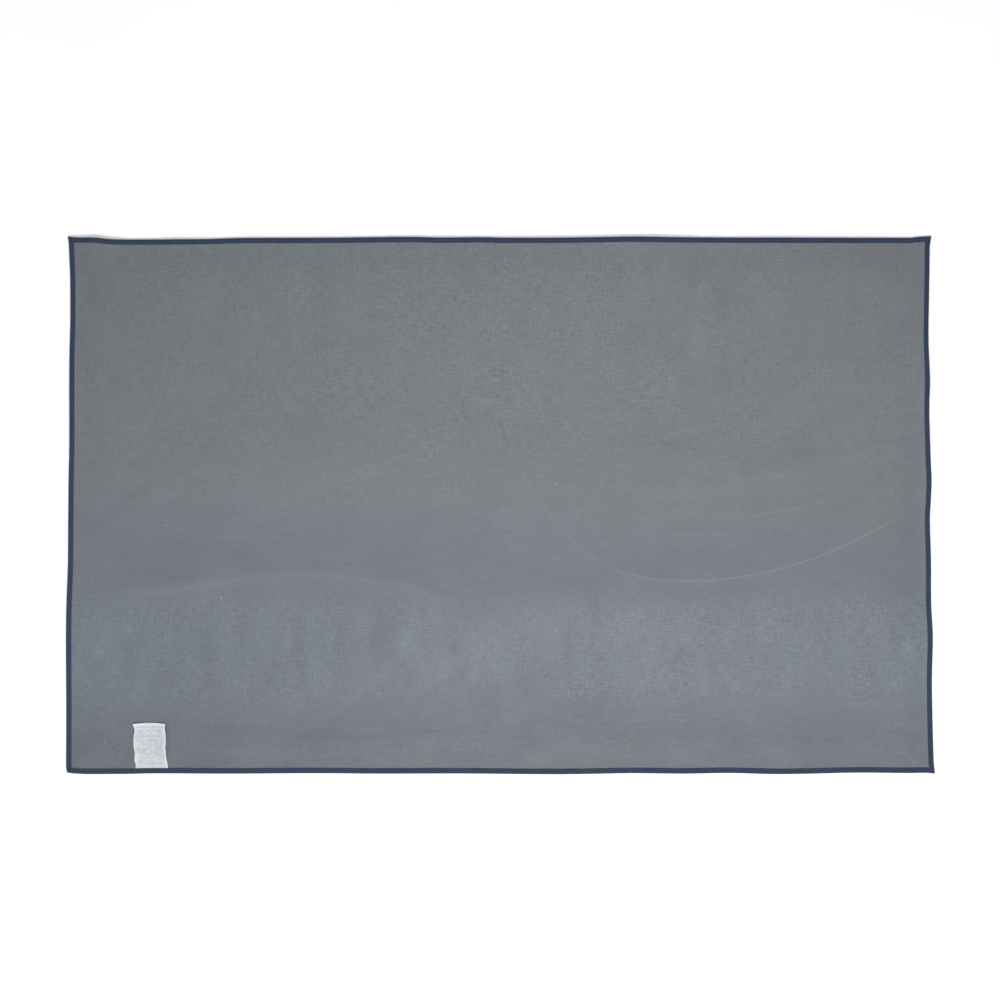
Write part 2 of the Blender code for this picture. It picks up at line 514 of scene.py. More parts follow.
def add_grid(name: str, columns: int, rows: int) -> tuple[bpy.types.Object, np.ndarray, np.ndarray]:
    """Add a flat grid of vertices.

    Args:
        name: the piece's name.
        columns: how many vertices there are along it.
        rows: how many there are across it.

    Returns:
        The piece, and each vertex's column and row.
    """
    deselect_all()
    bpy.ops.mesh.primitive_grid_add(x_subdivisions=columns - 1, y_subdivisions=rows - 1, size=2)
    piece = bpy.context.object
    piece.name = piece.data.name = name
    flat = read_points(piece)
    column = np.rint((flat[:, 0] + 1) / 2 * (columns - 1)).astype(int)
    row = np.rint((flat[:, 1] + 1) / 2 * (rows - 1)).astype(int)
    return piece, column, row


def read_points(piece: bpy.types.Object) -> np.ndarray:
    """The places of a piece's vertices, one row each."""
    points = np.empty(len(piece.data.vertices) * 3, np.float32)
    piece.data.vertices.foreach_get("co", points)
    return points.reshape(-1, 3).astype(float)


def write_points(piece: bpy.types.Object, points: np.ndarray) -> None:
    """Move a piece's vertices."""
    piece.data.vertices.foreach_set("co", points.astype(np.float32).ravel())
    piece.data.update()


def write_map(piece: bpy.types.Object, places: np.ndarray) -> None:
    """Set a piece's UV map from a place on the cut cloth for each vertex, in metres."""
    corners = np.empty(len(piece.data.loops), np.int32)
    piece.data.loops.foreach_get("vertex_index", corners)
    layer = piece.data.uv_layers.active or piece.data.uv_layers.new(name="Cloth")
    layer.name = "Cloth"
    layer.data.foreach_set("uv", places[corners].astype(np.float32).ravel())


def merge_doubles(piece: bpy.types.Object, within: float) -> None:
    """Merge a piece's vertices that lie on each other."""
    pick(piece)
    bpy.ops.object.mode_set(mode="EDIT")
    bpy.ops.mesh.select_all(action="SELECT")
    bpy.ops.mesh.remove_doubles(threshold=within)
    bpy.ops.object.mode_set(mode="OBJECT")


def write_attribute(piece: bpy.types.Object, name: str, values: np.ndarray) -> None:
    """Store a number for each of a piece's vertices."""
    attribute = piece.data.attributes.new(name, "FLOAT", "POINT")
    attribute.data.foreach_set("value", values.astype(np.float32))


def shade_smooth(piece: bpy.types.Object) -> None:
    """Shade a piece smooth all over."""
    piece.data.polygons.foreach_set("use_smooth", np.ones(len(piece.data.polygons), bool))
    piece.data.update()


def add_slab(name: str, top: np.ndarray, bottom: np.ndarray, places: np.ndarray) -> bpy.types.Object:
    """Make a closed sheet of cloth from its two surfaces.

    Args:
        name: the piece's name.
        top: the top surface, as rows of columns of points.
        bottom: the bottom surface, laid out the same way.
        places: where each point is on the cut cloth.

    Returns:
        The piece.
    """
    rows, columns = top.shape[:2]
    piece, column, row = add_grid(name, columns, rows)
    apply_modifier(piece, "SOLIDIFY", thickness=1 * MM, offset=-1)
    write_points(piece, np.vstack([top[row, column], bottom[row, column]]))
    write_map(piece, np.vstack([places[row, column]] * 2))
    shade_smooth(piece)
    return piece


# ------------------------------------------------------------------------------------------ finishes


class Finish(Protocol):
    """What every finish can do."""

    def material(self) -> bpy.types.Material:
        """Build the material."""


class Board:
    """A material's node tree, with short ways to add what a cloth needs."""

    def __init__(self, name: str) -> None:
        """Start a material with a Principled shader.

        Args:
            name: the material's name.
        """
        self.material = bpy.data.materials.new(name)
        self.material.use_nodes = True
        self.tree = self.material.node_tree
        self.shader = self.tree.nodes["Principled BSDF"]

    def add(self, kind: str, **settings: object) -> bpy.types.Node:
        """Add a node and set its properties."""
        node = self.tree.nodes.new(kind)
        for name, value in settings.items():
            setattr(node, name, value)
        return node

    def put(self, socket: bpy.types.NodeSocket, value: object) -> None:
        """Join a socket to another one, or set its value."""
        if isinstance(value, bpy.types.NodeSocket):
            self.tree.links.new(value, socket)
        else:
            socket.default_value = value

    def cloth(self) -> bpy.types.NodeSocket:
        """The place on the cut cloth, in metres."""
        return self.add("ShaderNodeUVMap", uv_map="Cloth").outputs["UV"]

    def split(self, vector: bpy.types.NodeSocket) -> tuple[bpy.types.NodeSocket, bpy.types.NodeSocket]:
        """The first two numbers of a vector."""
        node = self.add("ShaderNodeSeparateXYZ")
        self.put(node.inputs[0], vector)
        return node.outputs["X"], node.outputs["Y"]

    def stretch(self, vector: bpy.types.NodeSocket, scale: Triple) -> bpy.types.NodeSocket:
        """Scale a vector, so that what reads it runs longer one way."""
        node = self.add("ShaderNodeMapping")
        self.put(node.inputs["Vector"], vector)
        node.inputs["Scale"].default_value = scale
        return node.outputs["Vector"]

    def math(
        self, operation: str, first: object, second: object = 0.0, third: object = 0.0
    ) -> bpy.types.NodeSocket:
        """Work out a number from up to three others.

        Args:
            operation: the operation's name.
            first: the first number or socket.
            second: the second.
            third: the third.

        Returns:
            The result.
        """
        node = self.add("ShaderNodeMath", operation=operation)
        for socket, value in zip(node.inputs, (first, second, third)):
            self.put(socket, value)
        return node.outputs[0]

    def noise(
        self, vector: object, scale: float, detail: float = 2.0, rough: float = 0.5
    ) -> bpy.types.NodeSocket:
        """Soft random variation from 0 to 1.

        Args:
            vector: the place.
            scale: how many blotches there are in a metre.
            detail: how many finer octaves are added.
            rough: how strong those are.

        Returns:
            The variation.
        """
        node = self.add("ShaderNodeTexNoise", noise_dimensions="3D")
        self.put(node.inputs["Vector"], vector)
        node.inputs["Scale"].default_value = scale
        node.inputs["Detail"].default_value = detail
        node.inputs["Roughness"].default_value = rough
        return node.outputs["Fac"]

    def spread(
        self, value: object, low: float, high: float, to_low: float, to_high: float
    ) -> bpy.types.NodeSocket:
        """Carry a number from one range to another, kept inside it."""
        node = self.add("ShaderNodeMapRange", clamp=True)
        for socket, number in zip(node.inputs, (value, low, high, to_low, to_high)):
            self.put(socket, number)
        return node.outputs[0]

    def stored(self, name: str) -> bpy.types.NodeSocket:
        """A number that the piece stores for each of its vertices."""
        return self.add("ShaderNodeAttribute", attribute_name=name).outputs["Fac"]

    def wave(self, value: object, pitch: float) -> bpy.types.NodeSocket:
        """Ribs side by side, from 0 to 1, a pitch apart."""
        sine = self.math("SINE", self.math("MULTIPLY", value, 2 * math.pi / pitch))
        return self.math("MULTIPLY_ADD", sine, 0.5, 0.5)

    def finish(self, values: dict[str, object]) -> bpy.types.Material:
        """Set the shader's inputs, each by its name, and hand the material over."""
        for name, value in values.items():
            self.put(self.shader.inputs[name], value)
        return self.material

    def mix(self, share: object, first: object, second: object) -> bpy.types.NodeSocket:
        """Mix two colours."""
        node = self.add("ShaderNodeMix", data_type="RGBA", clamp_factor=True)
        self.put(node.inputs[0], share)
        self.put(node.inputs[6], first)
        self.put(node.inputs[7], second)
        return node.outputs[2]

    def shade(self, colour: object, amount: object) -> bpy.types.NodeSocket:
        """Make a colour lighter or darker, by a factor about 1."""
        node = self.add("ShaderNodeMix", data_type="RGBA", blend_type="MULTIPLY", clamp_factor=True)
        grey = self.add("ShaderNodeCombineColor")
        for socket in grey.inputs:
            self.put(socket, amount)
        node.inputs[0].default_value = 1.0
        self.put(node.inputs[6], colour)
        self.put(node.inputs[7], grey.outputs[0])
        return node.outputs[2]

    def bump(
        self, height: object, depth: float, under: object = None, strength: float = 1.0
    ) -> bpy.types.NodeSocket:
        """Raise the surface by a height from 0 to 1.

        Args:
            height: the height.
            depth: how deep 1 is, in metres.
            under: the normal of a coarser bump below this one.
            strength: how much of it shows.

        Returns:
            The normal.
        """
        node = self.add("ShaderNodeBump")
        node.inputs["Strength"].default_value = strength
        node.inputs["Distance"].default_value = depth
        self.put(node.inputs["Height"], height)
        if under is not None:
            self.put(node.inputs["Normal"], under)
        return node.outputs["Normal"]

    def plain_weave(self, vector: bpy.types.NodeSocket, pitch: float) -> bpy.types.NodeSocket:
        """The height of a plain weave, threads over and under each other.

        Args:
            vector: the place on the cloth.
            pitch: from one thread to the next but one, in metres.

        Returns:
            The height, from 0 to 1.
        """
        along, across = self.split(vector)
        turn = 2 * math.pi / pitch
        warp = self.math("SINE", self.math("MULTIPLY", along, turn))
        weft = self.math("SINE", self.math("MULTIPLY", across, turn))
        return self.math("MULTIPLY_ADD", self.math("MULTIPLY", warp, weft), 0.5, 0.5)


@dataclass(frozen=True)
class CoatedFinish:
    """Grey polyester with a coating: a tight weave, a soft sheen, pale and dark lines along creases, painted
    light and shade on rumples, puckers and patches, and lint.
    """

    light: Triple = (0.1093, 0.1212, 0.1328)
    dark: Triple = (0.1031, 0.1147, 0.1258)
    cool: Triple = (0.955, 0.985, 1.080)
    rub_and_highlight: Triple = (0.235, 0.250, 0.265)
    lint: Triple = (0.50, 0.51, 0.50)
    thread_pitch: float = 1.5 * MM
    roughness: float = 0.42

    def material(self) -> bpy.types.Material:
        """Build the material."""
        board = Board("coated_backing")
        place = board.cloth()
        _, across = board.split(place)
        colour = board.mix(board.noise(place, 13.0, 4.0, 0.6), (*self.dark, 1), (*self.light, 1))
        cooled = board.add("ShaderNodeMix", data_type="RGBA", blend_type="MULTIPLY", clamp_factor=True)
        board.put(cooled.inputs[0], board.spread(across, 0.04, -0.20, 0.0, 1.0))
        board.put(cooled.inputs[6], colour)
        board.put(cooled.inputs[7], (*self.cool, 1))
        patchy = board.spread(board.noise(place, 9.0, 3.0, 0.6), 0.35, 0.65, 0.65, 1.30)
        shown = board.math("MULTIPLY", board.stored("weave"), patchy)
        colour = board.shade(cooled.outputs[2], self.threads(board, place, shown))
        slack = self.slack(board, place)
        # Painted shade: the colour is lighter on the tops of the small rumples and darker in their hollows,
        # following the same height as the bump.
        rumple_shade = board.math("MULTIPLY_ADD", board.math("SUBTRACT", slack, 0.5), 0.26, 1.0)
        # The stored painted light and shade of puckers and patches, together with the painted rumple shade.
        colour = board.shade(colour, board.math("ADD", board.stored("tone"), rumple_shade))
        # Crease lines: mixed towards the pale colour as abraded coating with a painted highlight, and
        # darkened below 0 as painted shade.
        line = self.rub_and_shade(board, place)
        colour = board.mix(line, colour, (*self.rub_and_highlight, 1))
        colour = board.shade(colour, board.math("ADD", board.math("MINIMUM", line, 0.0), 1.0))
        colour = board.mix(self.specks(board, place), colour, (*self.lint, 1))
        uneven = board.noise(place, 22.0, 3.0, 0.6)
        rough = board.spread(uneven, 0.3, 0.7, self.roughness - 0.03, self.roughness + 0.05)
        coarse = board.bump(slack, 2.2 * MM, strength=0.30)
        fine = board.bump(board.plain_weave(place, self.thread_pitch), 0.10 * MM, coarse, 0.6)
        return board.finish(
            {"Base Color": colour, "Roughness": rough, "Normal": fine, "Specular IOR Level": 0.5}
        )

    def slack(self, board: Board, place: bpy.types.NodeSocket) -> bpy.types.NodeSocket:
        """Small rumples: across the blanket where it was gathered, along it where it was stretched. Their
        height also serves as painted shade in the colour.

        Args:
            board: the material's board.
            place: the place on the cloth.

        Returns:
            The height, from 0 to 1.
        """
        puckers = board.noise(board.stretch(place, (1.0, 0.50, 1.0)), 28.0, 3.6, 0.70)
        drawn = board.noise(board.stretch(place, (0.36, 1.0, 1.0)), 34.0, 3.6, 0.70)
        mixed = board.add("ShaderNodeMix", data_type="FLOAT")
        board.put(mixed.inputs[0], board.stored("gathered"))
        board.put(mixed.inputs[2], drawn)
        board.put(mixed.inputs[3], puckers)
        return mixed.outputs[0]

    def threads(
        self, board: Board, place: bpy.types.NodeSocket, weave: bpy.types.NodeSocket
    ) -> bpy.types.NodeSocket:
        """Streaks of slack and tight threads both ways, and the grain of the coating over them.

        Args:
            board: the material's board.
            place: the place on the cloth.
            weave: how clearly the weave shows.

        Returns:
            The factor on the colour, about 1.
        """
        total = 1.0
        for scale, stretch, amount in (
            (400.0, (1.0, 1.0, 1.0), 0.52),
            (400.0, (0.16, 1.0, 1.0), 0.46),
            (330.0, (1.0, 0.22, 1.0), 0.38),
        ):
            streaks = board.noise(board.stretch(place, stretch), scale, 1.5, 0.6)
            part = board.math("MULTIPLY", board.math("SUBTRACT", streaks, 0.5), amount)
            total = board.math("MULTIPLY_ADD", part, weave, total)
        return total

    def rub_and_shade(self, board: Board, place: bpy.types.NodeSocket) -> bpy.types.NodeSocket:
        """The line along each crease, a little broken up: paler as abraded coating with a painted highlight,
        darker as painted shade.

        Args:
            board: the material's board.
            place: the place on the cloth.

        Returns:
            The share of the pale colour (abraded coating and painted highlight), or below 0 for how much
            painted shade darkens the line.
        """
        widths = board.stored("line_distance")
        square = board.math("MULTIPLY", widths, widths)
        fall = board.math("EXPONENT", board.math("MULTIPLY", square, -1.0))
        line = board.math("MULTIPLY", board.stored("line_rub_and_shade"), fall)
        broken = board.spread(board.noise(place, 75.0, 3.0, 0.7), 0.3, 0.6, 0.45, 1.0)
        return board.math("MULTIPLY", line, broken)

    def specks(self, board: Board, place: bpy.types.NodeSocket) -> bpy.types.NodeSocket:
        """Scatter a few tiny specks of lint.

        Args:
            board: the material's board.
            place: the place on the cloth.

        Returns:
            The share of lint, from 0 to 1.
        """
        cells = board.add("ShaderNodeTexVoronoi", voronoi_dimensions="2D")
        ragged = board.noise(place, 700.0, 1.0, 0.5)
        board.put(cells.inputs["Vector"], place)
        cells.inputs["Scale"].default_value = 24.0
        edge = board.math("MULTIPLY_ADD", ragged, 0.05, cells.outputs["Distance"])
        near = board.spread(edge, 0.030, 0.075, 1.0, 0.0)
        picked, strength = board.split(cells.outputs["Color"])
        shown = board.math("MULTIPLY", board.math("GREATER_THAN", picked, 0.985), strength)
        return board.math("MULTIPLY", near, board.math("MULTIPLY", shown, 0.5))


@dataclass(frozen=True)
class FleeceFinish:
    """Short brushed pile, navy, with soft mottling where the pile lies over."""

    light: Triple = (0.050, 0.072, 0.120)
    dark: Triple = (0.026, 0.038, 0.068)
    sheen: Triple = (0.55, 0.62, 0.80)

    def material(self) -> bpy.types.Material:
        """Build the material."""
        board = Board("brushed_fleece")
        place = board.cloth()
        laid = board.noise(place, 16.0, 4.0, 0.6)
        tufts = board.noise(place, 420.0, 3.0, 0.7)
        share = board.math("ADD", board.math("MULTIPLY", laid, 0.5), board.math("MULTIPLY", tufts, 0.5))
        nap = board.bump(laid, 1.2 * MM, strength=0.4)
        contrast = board.spread(share, 0.36, 0.64, 0.0, 1.0)
        return board.finish({
            "Base Color": board.mix(contrast, (*self.dark, 1), (*self.light, 1)),
            "Roughness": board.spread(laid, 0.3, 0.7, 0.88, 1.0),
            "Normal": board.bump(tufts, 0.9 * MM, nap, 0.8),
            "Sheen Weight": 0.35,
            "Sheen Roughness": 0.5,
            "Sheen Tint": (*self.sheen, 1),
            "Specular IOR Level": 0.15,
        })


@dataclass(frozen=True)
class WaddingFinish:
    """Off-white needled fibre."""

    light: Triple = (0.80, 0.79, 0.76)
    dark: Triple = (0.62, 0.61, 0.59)

    def material(self) -> bpy.types.Material:
        """Build the material."""
        board = Board("needled_wadding")
        place = board.cloth()
        fibres = board.noise(board.stretch(place, (1.0, 0.3, 1.0)), 500.0, 4.0, 0.7)
        return board.finish({
            "Base Color": board.mix(fibres, (*self.dark, 1), (*self.light, 1)),
            "Roughness": board.spread(fibres, 0.2, 0.8, 0.9, 1.0),
            "Normal": board.bump(fibres, 0.6 * MM),
        })


@dataclass(frozen=True)
class TapeFinish:
    """Ribbed navy binding tape, ribs across it, with a painted highlight on the rib crests and painted shade
    between the ribs.
    """

    light: Triple = (0.0138, 0.0325, 0.0700)
    dark: Triple = (0.0076, 0.0195, 0.0435)
    rib_pitch: float = 1.1 * MM
    yarn_pitch: float = 0.5 * MM

    def material(self) -> bpy.types.Material:
        """Build the material."""
        board = Board("binding_tape")
        place = board.cloth()
        along, across = board.split(place)
        rib, yarn = board.wave(along, self.rib_pitch), board.wave(across, self.yarn_pitch)
        faded = board.noise(place, 35.0, 3.0, 0.6)
        fuzz = board.noise(place, 900.0, 2.0, 0.7)
        share = board.math("ADD", board.math("MULTIPLY", faded, 0.6), board.math("MULTIPLY", fuzz, 0.4))
        colour = board.mix(board.spread(share, 0.3, 0.7, 0.0, 1.0), (*self.dark, 1), (*self.light, 1))
        # Painted light and shade: the colour is lighter on each rib's crest and darker between the ribs.
        colour = board.shade(colour, board.spread(rib, 0.0, 1.0, 0.82, 1.10))
        coarse = board.bump(rib, 0.16 * MM, strength=0.8)
        return board.finish({
            "Base Color": colour,
            "Roughness": board.spread(faded, 0.3, 0.7, 0.58, 0.74),
            "Normal": board.bump(yarn, 0.05 * MM, coarse, 0.6),
            "Sheen Weight": 0.2,
            "Sheen Roughness": 0.4,
            "Specular IOR Level": 0.35,
        })


@dataclass(frozen=True)
class ThreadFinish:
    """Twisted navy polyester thread."""

    light: Triple = (0.034, 0.058, 0.110)
    dark: Triple = (0.016, 0.030, 0.060)
    twist_pitch: float = 0.7 * MM

    def material(self) -> bpy.types.Material:
        """Build the material."""
        board = Board("sewing_thread")
        place = board.cloth()
        along, around = board.split(place)
        turned = board.math("MULTIPLY_ADD", around, self.twist_pitch, along)
        ply = board.wave(turned, self.twist_pitch)
        # Painted light and shade: the colour is lighter on each ply's crest and darker in the grooves between
        # the plies.
        return board.finish({
            "Base Color": board.mix(ply, (*self.dark, 1), (*self.light, 1)),
            "Roughness": board.spread(ply, 0.0, 1.0, 0.55, 0.42),
            "Normal": board.bump(ply, 0.04 * MM),
        })


@dataclass(frozen=True)
class SatinFinish:
    """White satin ribbon, with a row of plain marks and a block of short dashes that stand for print."""

    width: float
    length: float
    cloth: Triple = (0.442, 0.452, 0.468)
    shadow: Triple = (0.390, 0.402, 0.416)
    woven_edge_and_highlight: Triple = (0.60, 0.62, 0.65)
    ink: Triple = (0.16, 0.17, 0.18)
    mark_pitch: float = 6.1 * MM
    line_pitch: float = 2.9 * MM
    weave_pitch: float = 0.45 * MM

    def material(self) -> bpy.types.Material:
        """Build the material."""
        board = Board("label_satin")
        place = board.cloth()
        along, across = board.split(place)
        ink = board.math("MAXIMUM", self.marks(board, along, across), self.dashes(board, along, across))
        hem = self.band(board, along, self.length - 6.4 * MM, self.length - 5.7 * MM)
        ink = board.math("MAXIMUM", ink, board.math("MULTIPLY", hem, 0.55))
        cloudy = board.noise(place, 60.0, 3.0, 0.6)
        colour = board.mix(board.spread(cloudy, 0.35, 0.65, 0.0, 1.0), (*self.shadow, 1), (*self.cloth, 1))
        colour = board.mix(board.math("MULTIPLY", ink, 0.50), colour, (*self.ink, 1))
        half = self.width / 2
        # The edges and the hemmed end are mixed towards a paler colour: partly the denser woven edge and
        # doubled hem, partly a painted highlight where they catch the light.
        rim = board.spread(board.math("ABSOLUTE", across), half - 3.2 * MM, half - 1.2 * MM, 0.0, 0.6)
        end = board.spread(along, self.length - 4.6 * MM, self.length - 3.4 * MM, 0.0, 0.5)
        colour = board.mix(board.math("MAXIMUM", rim, end), colour, (*self.woven_edge_and_highlight, 1))
        rumple = board.bump(board.noise(place, 110.0, 2.0, 0.5), 0.5 * MM, strength=0.5)
        return board.finish({
            "Base Color": colour,
            "Roughness": board.spread(cloudy, 0.3, 0.7, 0.38, 0.5),
            "Normal": board.bump(board.wave(across, self.weave_pitch), 0.03 * MM, rumple, 0.6),
            "Sheen Weight": 0.15,
        })

    def band(self, board: Board, value: object, low: float, high: float) -> bpy.types.NodeSocket:
        """1 where a number lies between two others, else 0."""
        above = board.math("GREATER_THAN", value, low)
        return board.math("MULTIPLY", above, board.math("LESS_THAN", value, high))

    def marks(self, board: Board, along: object, across: object) -> bpy.types.NodeSocket:
        """A row of five small plain square outlines.

        Args:
            board: the material's board.
            along: the place along the label, from its sewn end.
            across: the place across it, from its middle.

        Returns:
            The ink, from 0 to 1.
        """
        row = self.length - 18.5 * MM
        cell = board.math("WRAP", across, self.mark_pitch / 2, -self.mark_pitch / 2)
        high = board.math("ABSOLUTE", board.math("SUBTRACT", along, row))
        far = board.math("MAXIMUM", board.math("ABSOLUTE", cell), high)
        square = self.band(board, far, 0.9 * MM, 1.75 * MM)
        inside = board.math("LESS_THAN", board.math("ABSOLUTE", across), 2.5 * self.mark_pitch)
        return board.math("MULTIPLY", square, inside)

    def dashes(self, board: Board, along: object, across: object) -> bpy.types.NodeSocket:
        """Rows of short dashes of uneven length.

        Args:
            board: the material's board.
            along: the place along the label, from its sewn end.
            across: the place across it, from its middle.

        Returns:
            The ink, from 0 to 1.
        """
        cell = board.math("WRAP", along, self.line_pitch, 0.0)
        stroke = self.band(board, cell, 0.9 * MM, 2.1 * MM)
        line = board.math("FLOOR", board.math("DIVIDE", along, self.line_pitch))
        spot = board.add("ShaderNodeCombineXYZ")
        board.put(spot.inputs["X"], board.math("MULTIPLY", across, 170.0))
        board.put(spot.inputs["Y"], board.math("MULTIPLY", line, 7.3))
        gaps = board.spread(board.noise(spot.outputs[0], 1.0, 1.0, 0.5), 0.43, 0.48, 0.0, 1.0)
        below = self.band(board, along, 8.5 * MM, self.length - 22.8 * MM)
        above = self.band(board, along, self.length - 15.0 * MM, self.length - 9.5 * MM)
        block = board.math("MAXIMUM", below, above)
        inside = board.math("LESS_THAN", board.math("ABSOLUTE", across), self.width / 2 - 6.0 * MM)
        shown = board.math("MULTIPLY", block, inside)
        return board.math("MULTIPLY", shown, board.math("MULTIPLY", stroke, gaps))


# --------------------------------------------------------------------------------------------- pieces


@dataclass
class Fold:
    """The strip along the middle that bends when the blanket is folded in half."""

    half_width: float = 11.5 * MM

    def bend(self, piece: bpy.types.Object) -> None:
        """Bake a piece's placement into its mesh."""
        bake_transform(piece)


@dataclass
class ClothLayer:
    """One whole layer of the blanket, from edge to edge inside the binding."""

    name: str
    lower: Level
    upper: Level
    lie: Lie
    stack: Stack
    fold: Fold
    inside: float = 1.4 * MM

    def lines(self) -> tuple[np.ndarray, np.ndarray]:
        """The places of the layer's columns and rows, closest at the fold and the creases."""
        right, far = self.lie.half_length - self.inside, self.lie.half_width - self.inside
        bend, near = 12 * MM, 130 * MM
        columns = graded(
            (
                (-right, -near, 5 * MM),
                (-near, -bend, 4 * MM),
                (-bend, bend, 1 * MM),
                (bend, near, 4 * MM),
                (near, right, 5 * MM),
            )
        )
        rows = graded(
            (
                (-far, -far + 27 * MM, 3.2 * MM),
                (-far + 27 * MM, -0.31, 6 * MM),
                (-0.31, -0.04, 3.7 * MM),
                (-0.04, far - 27 * MM, 6 * MM),
                (far - 27 * MM, far, 3.2 * MM),
            )
        )
        return columns, rows

    def build(self) -> bpy.types.Object:
        """Build the layer as one closed sheet.

        Returns:
            The piece.
        """
        x, y = np.meshgrid(*self.lines())
        inset = np.minimum(self.lie.half_length - abs(x), self.lie.half_width - abs(y))
        top = self.lie.place(x, y, self.stack.height(self.upper, inset))
        gap = 0.0 if self.lower is Level.GROUND else self.stack.apart
        bottom = self.lie.place(x, y, self.stack.height(self.lower, inset) + gap)
        return add_slab(self.name, top, bottom, np.stack([x, y], -1))

    def dress(self, piece: bpy.types.Object, finish: Finish, rests_on: list[bpy.types.Object]) -> None:
        """Give the layer its finish, hide the model's halves of it and bake its placement.

        Args:
            piece: the layer.
            finish: its finish.
            rests_on: what it lies on; not used.
        """
        piece.data.materials.append(finish.material())
        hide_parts(f"{self.name}_left", f"{self.name}_right")
        self.fold.bend(piece)


@dataclass
class Backing(ClothLayer):
    """The coated backing cloth, which carries abraded coating and painted light and shade along its creases,
    puckers and patches.

    Its vertices run along the rows, the top surface first, so these values are stored in that order.
    """

    def build(self) -> bpy.types.Object:
        """Build the layer and store its abraded lines and painted light and shade.

        Returns:
            The piece.
        """
        piece = super().build()
        x, y = np.meshgrid(*self.lines())
        widths, pale = self.lie.rub_and_shade_lines(x, y)
        worn_and_painted_shade = {
            "line_distance": widths,
            "line_rub_and_shade": pale,
            "tone": self.lie.tone(x, y),
            "weave": self.lie.weave_shown(x, y),
            "gathered": self.lie.gathered(x, y),
        }
        for name, values in worn_and_painted_shade.items():
            write_attribute(piece, name, np.tile(values.ravel(), 2))
        return piece


